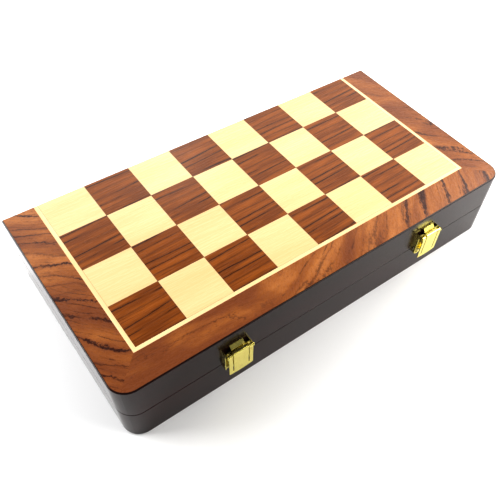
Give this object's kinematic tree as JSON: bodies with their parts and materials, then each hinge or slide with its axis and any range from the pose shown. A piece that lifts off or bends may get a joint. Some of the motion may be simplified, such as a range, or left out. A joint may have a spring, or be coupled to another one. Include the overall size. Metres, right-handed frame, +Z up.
{
  "type": "folding games box",
  "caption": "Folding wooden games box: two hinged trays with an inlaid chequered board on their outer faces, closed by brass spring latches.",
  "frame": {"origin": "centre of the bottom face of the closed case", "axes": "+X along the length to the right seen from the latches, +Y towards the hinges, +Z up"},
  "size_m": [0.3, 0.157, 0.0515],
  "materials": {
    "dark_lacquer": "glossy near-black brown lacquer on hardwood rails",
    "border_veneer": "figured orange-brown veneer under clear satin lacquer",
    "stringing_wood": "pale stringing under clear satin lacquer",
    "dark_square_wood": "striped reddish brown veneer under clear satin lacquer",
    "light_square_wood": "pale cream veneer under clear satin lacquer",
    "core_board": "plain board, hidden under veneer and lining",
    "lining_cloth": "short green baize",
    "latch_brass": "bright polished brass plate",
    "hinge_brass": "polished brass"
  },
  "bodies": {
    "lower_tray": {"lower_front_rail": "dark_lacquer", "lower_back_rail": "dark_lacquer", "lower_left_rail": "dark_lacquer", "lower_right_rail": "dark_lacquer", "lower_panel": "core_board", "lower_border_front": "border_veneer", "lower_border_left": "border_veneer", "lower_border_right": "border_veneer", "lower_stringing_front": "stringing_wood", "lower_stringing_left": "stringing_wood", "lower_stringing_right": "stringing_wood", "lower_dark_squares": "dark_square_wood", "lower_light_squares": "light_square_wood", "lower_lining": "lining_cloth", "hinge_left_lower_leaf": "hinge_brass", "hinge_left_pin": "hinge_brass", "hinge_right_lower_leaf": "hinge_brass", "hinge_right_pin": "hinge_brass", "hinge_lower_screws": "hinge_brass", "latch_left_catch": "latch_brass", "latch_right_catch": "latch_brass", "latch_catch_nails": "latch_brass"},
    "upper_tray": {"upper_front_rail": "dark_lacquer", "upper_back_rail": "dark_lacquer", "upper_left_rail": "dark_lacquer", "upper_right_rail": "dark_lacquer", "upper_panel": "core_board", "upper_border_front": "border_veneer", "upper_border_left": "border_veneer", "upper_border_right": "border_veneer", "upper_stringing_front": "stringing_wood", "upper_stringing_left": "stringing_wood", "upper_stringing_right": "stringing_wood", "upper_dark_squares": "dark_square_wood", "upper_light_squares": "light_square_wood", "upper_lining": "lining_cloth", "hinge_left_upper_leaf": "hinge_brass", "hinge_right_upper_leaf": "hinge_brass", "hinge_upper_screws": "hinge_brass", "latch_left_frame": "latch_brass", "latch_left_pin": "latch_brass", "latch_right_frame": "latch_brass", "latch_right_pin": "latch_brass"},
    "left_lever": {"latch_left_lever": "latch_brass"},
    "right_lever": {"latch_right_lever": "latch_brass"}
  },
  "joints": [
    {"name": "lid_hinge", "type": "hinge", "parent": "lower_tray", "child": "upper_tray", "pos_m": [0, 0.07515, 0.02575], "axis": [-1, 0, 0], "range_deg": [0, 180]},
    {"name": "left_latch_pivot", "type": "hinge", "parent": "upper_tray", "child": "left_lever", "pos_m": [-0.0781, -0.07895, 0.03665], "axis": [-1, 0, 0], "range_deg": [0, 14], "stiffness_Nm_per_rad": 0.02, "springref_deg": -11.46},
    {"name": "right_latch_pivot", "type": "hinge", "parent": "upper_tray", "child": "right_lever", "pos_m": [0.0781, -0.07895, 0.03665], "axis": [-1, 0, 0], "range_deg": [0, 14], "stiffness_Nm_per_rad": 0.02, "springref_deg": -11.46}
  ]
}
